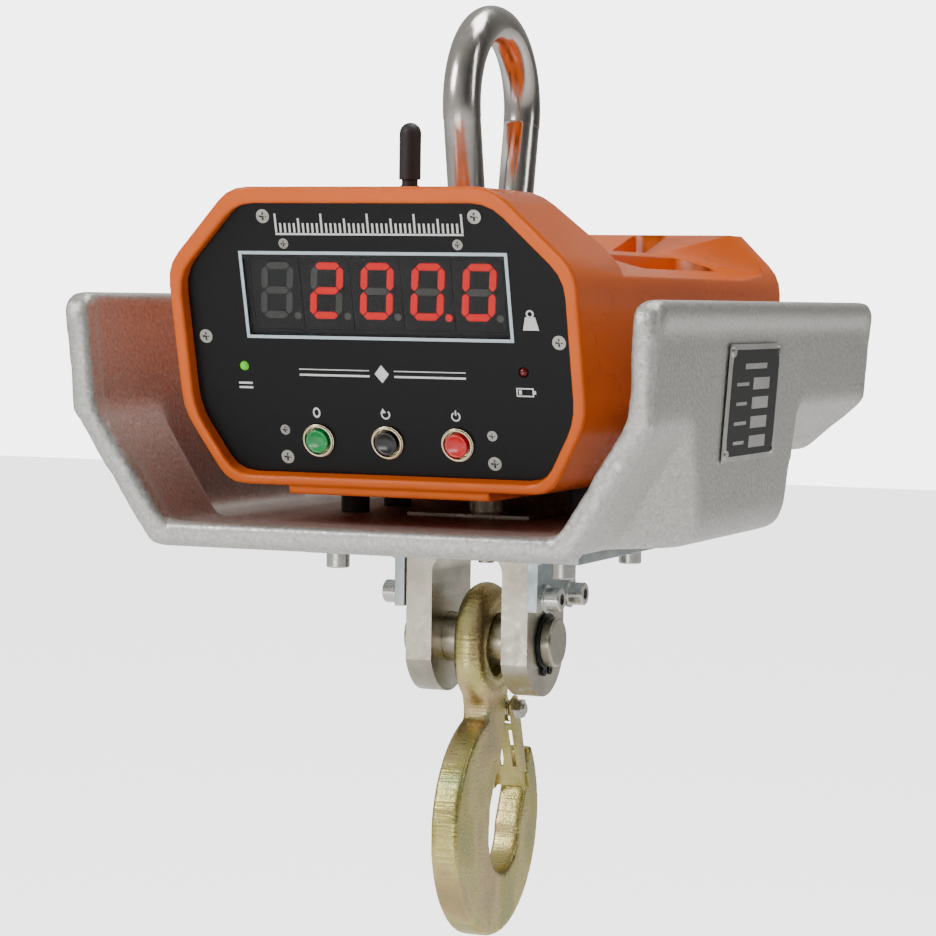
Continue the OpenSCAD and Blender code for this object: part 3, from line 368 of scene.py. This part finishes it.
# ---------------------------------------------------------------- casing
# Welded sheet shell in glossy orange powder coat, with softly rounded
# edges, four hand recesses in its saddle and a raised frame in front.
orange, orange_tree, orange_shader = new_material("orange_powder_coat", (0.80, 0.10, 0.004), 0.0, 0.28)
orange_shader.inputs["Coat Weight"].default_value = 0.12
orange_shader.inputs["Specular IOR Level"].default_value = 0.28
orange_shader.inputs["Coat Roughness"].default_value = 0.10
orange_peel = grain(orange_tree, 260, 2)
orange_drift = grain(orange_tree, 9, 4)
orange_tones = [(0.35, 0.80, 0.128, 0.004), (0.65, 0.90, 0.150, 0.006)]
orange_tree.links.new(tones(orange_tree, orange_drift, orange_tones), orange_shader.inputs["Base Color"])
orange_tree.links.new(spread(orange_tree, orange_drift, 0.22, 0.32), orange_shader.inputs["Roughness"])
soft_edges = orange_tree.nodes.new("ShaderNodeBevel")
soft_edges.inputs["Radius"].default_value = 0.0022
relief(orange_tree, orange_shader, orange_peel, 0.00008, 0.5, soft_edges.outputs["Normal"])
casing_form = copied("casing")
round_edges(casing_form, 1.6 * MM, 4, 24, 2.2 * MM, -119 * MM, False)
settle(casing_form, "orange_casing", "scale", orange, ["casing"], 30)
cover_form = copied("rear_cover")
round_edges(cover_form, 0.8 * MM, 2, 50, 2 * MM)
settle(cover_form, "orange_rear_cover", "scale", orange, ["rear_cover"])
coat(plated, "rear_cover_screws", "charging_socket", "battery_bracket")
rubber, rubber_tree, rubber_shader = new_material("black_rubber", (0.022, 0.02, 0.02), 0.0, 0.55)
relief(rubber_tree, rubber_shader, grain(rubber_tree, 600), 0.00006)
coat(rubber, "rear_gasket", "cell_cable", "antenna")
black_plastic, plastic_tree, plastic_shader = new_material("black_plastic", (0.03, 0.03, 0.03), 0.0, 0.5)
relief(plastic_tree, plastic_shader, grain(plastic_tree, 450), 0.00005)
coat(black_plastic, "casing_spacers", "button_switches", "battery")
board, board_tree, board_shader = new_material("green_board", (0.03, 0.16, 0.07), 0.0, 0.4)
board_tones = [(0.4, 0.02, 0.12, 0.05), (0.6, 0.04, 0.20, 0.09)]
board_tree.links.new(tones(board_tree, grain(board_tree, 90), board_tones), board_shader.inputs["Base Color"])
coat(board, "display_board", "main_board", "radio_module")
coat(steel("plain_brass", (0.60, 0.42, 0.16), (0.70, 0.52, 0.22), 0.25, 0.4), "board_standoffs")

# ---------------------------------------------------------------- display panel
# Satin black overlay on an aluminium plate, sloping down towards the reader.
# White printed marks stand on it: plain signs and ticks, and no words.
window_low, window_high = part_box("display_window")
panel_tilt = radians(15)
panel_out = Vector((0, -cos(panel_tilt), -sin(panel_tilt)))
panel_up = Vector((0, -sin(panel_tilt), cos(panel_tilt)))
window_v = 44 * MM
panel_base = (window_low + window_high) / 2 + panel_out * 1.7 * MM - panel_up * window_v
on_panel = Matrix.Translation(panel_base) @ Matrix(((1, 0, 0), panel_up, panel_out)).transposed().to_4x4()

overlay, overlay_tree, overlay_shader = new_material("panel_overlay", (0.0035, 0.0035, 0.004), 0.0, 0.36)
overlay_shader.inputs["Specular IOR Level"].default_value = 0.2
overlay_gloss = spread(overlay_tree, grain(overlay_tree, 700), 0.30, 0.44)
overlay_tree.links.new(overlay_gloss, overlay_shader.inputs["Roughness"])
relief(overlay_tree, overlay_shader, grain(overlay_tree, 900), 0.00004, 0.5)
coat(overlay, "front_panel")
dull_zinc = steel("dull_zinc", (0.22, 0.21, 0.19), (0.36, 0.35, 0.32), 0.20, 0.34)
coat(dull_zinc, "panel_screws_large", "panel_screws_small")
coat(plated, "button_nuts")


def tile(form, points, low, high):
    """A flat printed or moulded shape: a few corners on the panel, from one height to another, in mm."""
    face = form.faces.new([form.verts.new(Vector((x, y, low)) * MM) for x, y in points])
    raised = bmesh.ops.extrude_face_region(form, geom=[face])
    lifted = [v for v in raised["geom"] if isinstance(v, bmesh.types.BMVert)]
    bmesh.ops.translate(form, vec=(0, 0, (high - low) * MM), verts=lifted)


def box_points(x, y, width, height):
    return [(x - width / 2, y - height / 2), (x + width / 2, y - height / 2),
            (x + width / 2, y + height / 2), (x - width / 2, y + height / 2)]


def band(form, x, y, radius, width, start, sweep, low, high, tall=1.0):
    """Part of a ring, such as a printed arc, made by turning its cross-section."""
    corners = [(radius - width / 2, low), (radius + width / 2, low), (radius + width / 2, high),
               (radius - width / 2, high)]
    face = form.faces.new([form.verts.new(Vector((r, 0, w)) * MM) for r, w in corners])
    closed = sweep >= 360
    before = set(form.verts) - set(face.verts)
    bmesh.ops.rotate(form, verts=face.verts, cent=(0, 0, 0), matrix=Matrix.Rotation(radians(start), 3, "Z"))
    bmesh.ops.spin(form, geom=[face, *face.edges, *face.verts] if not closed else [*face.edges, *face.verts],
                   cent=(0, 0, 0), axis=(0, 0, 1), angle=radians(sweep), steps=28, use_merge=closed,
                   use_duplicate=False)
    if closed:
        form.faces.remove(face)
    made = [v for v in form.verts if v not in before]
    bmesh.ops.scale(form, vec=(1, tall, 1), verts=made)
    bmesh.ops.translate(form, vec=Vector((x, y, 0)) * MM, verts=made)


def placed(form, frame_matrix):
    bmesh.ops.transform(form, matrix=frame_matrix, verts=form.verts)
    bmesh.ops.recalc_face_normals(form, faces=form.faces)
    return form


ink, ink_tree, ink_shader = new_material("white_ink", (0.82, 0.82, 0.80), 0.0, 0.45)
ink_tones = [(0.3, 0.72, 0.72, 0.70), (0.6, 0.86, 0.86, 0.84)]
ink_tree.links.new(tones(ink_tree, grain(ink_tree, 600), ink_tones), ink_shader.inputs["Base Color"])
INK_LOW, INK_HIGH = 0.01, 0.08
marks = bmesh.new()
# a row of ticks across the top, like a graduated scale
for tick in range(-20, 21):
    height = 10 if tick % 10 == 0 else 7.5 if tick % 5 == 0 else 5
    tile(marks, box_points(tick * 2.6, 77.4 + height / 2, 1.1, height), INK_LOW, INK_HIGH)
tile(marks, box_points(0, 76.6, 105.1, 1.0), INK_LOW, INK_HIGH)
# two rules and a lozenge in the middle
for side in (-1, 1):
    tile(marks, box_points(side * 27, 1, 40, 1.1), INK_LOW, INK_HIGH)
    tile(marks, box_points(side * 27, 4, 40, 0.5), INK_LOW, INK_HIGH)
tile(marks, [(0, -2.5), (4, 2.3), (0, 7.1), (-4, 2.3)], INK_LOW, INK_HIGH)
# a weight beside the window
tile(marks, [(80.5, 27.2), (89.3, 27.2), (87.6, 34.2), (82.2, 34.2)], INK_LOW, INK_HIGH)
band(marks, 84.9, 35.8, 1.7, 0.9, 0, 360, INK_LOW, INK_HIGH)
# two level bars under the steady lamp, and a battery under the other
for line in (0, 1):
    tile(marks, box_points(-79, -4.2 - 2.4 * line, 8, 1.1), INK_LOW, INK_HIGH)
for bar in ((79, -3.6, 9.4, 0.7), (79, -7.6, 9.4, 0.7), (74.6, -5.6, 0.7, 3.3),
            (83.4, -5.6, 0.7, 3.3), (84.4, -5.6, 1.1, 1.8), (76.4, -5.6, 1.6, 2.2)):
    tile(marks, box_points(*bar), INK_LOW, INK_HIGH)
# a nought, a turning arrow and a power sign over the three buttons
LABEL_V = -19.6
button_x = [sum(c.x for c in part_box(cap)) / 2 / MM for cap in ("cap_green", "cap_black", "cap_red")]
band(marks, button_x[0], LABEL_V, 1.7, 0.8, 0, 360, INK_LOW, INK_HIGH, 1.35)
band(marks, button_x[1], LABEL_V, 2.2, 0.8, 130, 280, INK_LOW, INK_HIGH)
arrow = [(-2.9, 0.6), (0.3, 0.9), (-1.4, 3.4)]
tile(marks, [(button_x[1] + x, LABEL_V + y) for x, y in arrow], INK_LOW, INK_HIGH)
band(marks, button_x[2], LABEL_V, 2.2, 0.8, 120, 300, INK_LOW, INK_HIGH)
tile(marks, box_points(button_x[2], LABEL_V + 1.9, 0.8, 2.8), INK_LOW, INK_HIGH)
settle(placed(marks, on_panel), "printed_marks", "scale", ink, (), 80, False)

# ---------------------------------------------------------------- digits
# Five seven-segment modules behind a tinted window with a pale printed
# outline. One is blank, and four are lit and show 2000 in tenths.
outline_form = bmesh.new()
WINDOW_W, WINDOW_H, WINDOW_V = 147.0, 43.5, 44.0
LINE_W, LINE_HIGH = 1.7, 0.12
for side in (-1, 1):
    level = WINDOW_V + side * (WINDOW_H + LINE_W) / 2
    tile(outline_form, box_points(0, level, WINDOW_W + 2 * LINE_W, LINE_W), INK_LOW, LINE_HIGH)
    beside = side * (WINDOW_W + LINE_W) / 2
    tile(outline_form, box_points(beside, WINDOW_V, LINE_W, WINDOW_H), INK_LOW, LINE_HIGH)
outline_ink, line_tree, line_shader = new_material("pale_blue_ink", (0.55, 0.68, 0.74), 0.0, 0.4)
line_tones = [(0.3, 0.48, 0.62, 0.68), (0.6, 0.60, 0.72, 0.78)]
line_tree.links.new(tones(line_tree, grain(line_tree, 500), line_tones), line_shader.inputs["Base Color"])
settle(placed(outline_form, on_panel), "window_outline", "scale", outline_ink, (), 80, False)

lens, lens_tree, lens_shader = new_material("tinted_window", (0.006, 0.006, 0.008), 0.0, 0.10)
lens_shader.inputs["Alpha"].default_value = 0.34
lens_tree.links.new(spread(lens_tree, grain(lens_tree, 60), 0.07, 0.13), lens_shader.inputs["Roughness"])
coat(lens, "display_window")
module_black, module_tree, module_shader = new_material("digit_moulding", (0.012, 0.012, 0.013), 0.0, 0.5)
relief(module_tree, module_shader, grain(module_tree, 500), 0.00004)
coat(module_black, "digit_modules")

PITCH = 28.4
DIGIT_V = 45.8
SEGMENT_LOW, SEGMENT_HIGH, DOT_R = -3.19, -2.95, 2.0
HALF_H, HALF_W, STROKE = 13.2, 7.3, 3.7
SLANT = 0.13
SEGMENTS = {"top": (0, 1, 0), "upper_left": (-1, 0.5, 1), "upper_right": (1, 0.5, 1), "middle": (0, 0, 0),
            "lower_left": (-1, -0.5, 1), "lower_right": (1, -0.5, 1), "bottom": (0, -1, 0)}
TWO = {"top", "upper_right", "middle", "lower_left", "bottom"}
NOUGHT = set(SEGMENTS) - {"middle"}


def segment(form, x, y, upright, centre):
    """One bar with pointed ends, on the slant that such digits have."""
    half = (HALF_H / 2 if upright else HALF_W) - 0.45
    nib = STROKE / 2
    bar = [(-half, 0), (-half + nib, -nib), (half - nib, -nib),
           (half, 0), (half - nib, nib), (-half + nib, nib)]
    if upright:
        bar = [(-b, a) for a, b in bar]
    points = [(x * HALF_W + a, y * HALF_H + b) for a, b in bar]
    tile(form, [(centre + a + b * SLANT, DIGIT_V + b) for a, b in points], SEGMENT_LOW, SEGMENT_HIGH)


mask = bmesh.new()
MASK_LOW, MASK_HIGH, MASK_W = -3.9, -3.3, 3.9
for side in (-1, 1):
    tile(mask, box_points(side * 73, WINDOW_V, MASK_W, 46), MASK_LOW, MASK_HIGH)
    tile(mask, box_points(0, WINDOW_V + side * 21.1, 142, MASK_W), MASK_LOW, MASK_HIGH)
settle(placed(mask, on_panel), "window_mask", "scale", module_black, (), 80, False)
lit, dark = bmesh.new(), bmesh.new()
for place, shown in enumerate((set(), TWO, NOUGHT, NOUGHT, NOUGHT)):
    centre = (place - 2) * PITCH + 0.2
    for name, (x, y, upright) in SEGMENTS.items():
        segment(lit if name in shown else dark, x, y, upright, centre)
    dot = lit if place == 3 else dark
    round_points = [(DOT_R * cos(a * pi / 8), DOT_R * sin(a * pi / 8)) for a in range(16)]
    tile(dot, [(centre + 10.6 + x, DIGIT_V - HALF_H - 0.4 + y) for x, y in round_points],
         SEGMENT_LOW, SEGMENT_HIGH)
glow, glow_tree, glow_shader = new_material("lit_segment", (0.7, 0.01, 0.005), 0.0, 0.5)
glow_shader.inputs["Emission Strength"].default_value = 1.7
glow_tones = [(0.3, 1.0, 0.0, 0.0), (0.7, 1.0, 0.006, 0.003)]
glow_tree.links.new(tones(glow_tree, grain(glow_tree, 300), glow_tones), glow_shader.inputs["Emission Color"])
unlit, unlit_tree, unlit_shader = new_material("unlit_segment", (0.2, 0.2, 0.19), 0.0, 0.5)
unlit_tones = [(0.3, 0.22, 0.22, 0.20), (0.7, 0.30, 0.30, 0.27)]
unlit_tree.links.new(tones(unlit_tree, grain(unlit_tree, 300), unlit_tones), unlit_shader.inputs["Base Color"])
settle(placed(lit, on_panel), "lit_segments", "scale", glow, (), 80, False)
settle(placed(dark, on_panel), "unlit_segments", "scale", unlit, (), 80, False)

# ---------------------------------------------------------------- buttons and lamps
# Three dished glossy caps in plated rings, and two small round lamps: the
# left one is lit green, the right one is off.


def gloss(name, colour, deeper, glow_strength=0.0):
    material, tree, shader = new_material(name, colour, 0.0, 0.2)
    shader.inputs["Coat Weight"].default_value = 0.3
    shader.inputs["Emission Strength"].default_value = glow_strength
    shader.inputs["Emission Color"].default_value = (*colour, 1)
    moulded = [(0.35, *deeper), (0.65, *colour)]
    tree.links.new(tones(tree, grain(tree, 180), moulded), shader.inputs["Base Color"])
    relief(tree, shader, grain(tree, 300), 0.00003)
    return material


for cap, body, slot, colour, deeper in (
        ("cap_green", "zero_cap", "button_green", (0.0, 0.34, 0.075), (0.0, 0.27, 0.06)),
        ("cap_black", "recall_cap", "button_black", (0.012, 0.012, 0.013), (0.008, 0.008, 0.009)),
        ("cap_red", "power_cap", "button_red", (0.78, 0.012, 0.016), (0.66, 0.008, 0.010))):
    cap_form = copied(cap)
    round_edges(cap_form, 0.5 * MM, 3, 40)
    settle(cap_form, "pressed_" + cap, body, gloss("gloss_" + cap, colour, deeper), [cap])
nickel = steel("warm_nickel", (0.62, 0.53, 0.34), (0.80, 0.72, 0.52), 0.14, 0.26)
bezel_form = copied("button_bezels")
round_edges(bezel_form, 0.35 * MM, 3, 40)
settle(bezel_form, "button_rings", "scale", nickel, ["button_bezels"])
coat(gloss("green_lamp", (0.12, 0.6, 0.03), (0.08, 0.45, 0.02), 0.7), "steady_lamp")
coat(gloss("red_lamp", (0.16, 0.004, 0.006), (0.10, 0.002, 0.004)), "battery_lamp")

# ---------------------------------------------------------------- aerial
# A ribbed rubber whip on a plated hexagon base in the casing's saddle.
coat(plated, "antenna_base")

# ---------------------------------------------------------------- data plate
# Etched aluminium plate riveted to the guard, with a black field. It keeps
# only blank entry boxes and short bars where its words would stand.
plate_lean = atan(0.07)
name_low, name_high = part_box("nameplate")
name_out = Vector((cos(plate_lean), 0, -sin(plate_lean)))
name_up = Vector((sin(plate_lean), 0, cos(plate_lean)))
name_face = (name_low + name_high) / 2 + name_out * 0.5 * MM
on_name = Matrix.Translation(name_face) @ Matrix(((0, 1, 0), name_up, name_out)).transposed().to_4x4()
etched = steel("etched_aluminium", (0.60, 0.60, 0.57), (0.72, 0.72, 0.69), 0.28, 0.40)
coat(etched, "nameplate")
coat(plated, "nameplate_rivets")
field = bmesh.new()
FIELD_LOW, FIELD_HIGH, ENTRY_HIGH = 0.01, 0.06, 0.10
tile(field, [(-41, -28.5), (41, -28.5), (43, -20), (43, 20), (41, 28.5), (-41, 28.5), (-43, 20), (-43, -20)],
     FIELD_LOW, FIELD_HIGH)
field_ink, field_tree, field_shader = new_material("black_field", (0.006, 0.006, 0.006), 0.0, 0.5)
relief(field_tree, field_shader, grain(field_tree, 400), 0.00004)
settle(placed(field, on_name), "data_plate_field", "scale", field_ink, (), 80, False)
entries = bmesh.new()
tile(entries, box_points(0, 19.5, 40, 3.0), FIELD_HIGH, ENTRY_HIGH)
for row in range(4):
    level = 10 - row * 10.5
    tile(entries, box_points(-22, level, 22 - 3 * (row % 2), 1.8), FIELD_HIGH, ENTRY_HIGH)
    tile(entries, box_points(12, level, 30, 6.4), FIELD_HIGH, ENTRY_HIGH)
settle(placed(entries, on_name), "data_plate_entries", "scale", etched, (), 80, False)
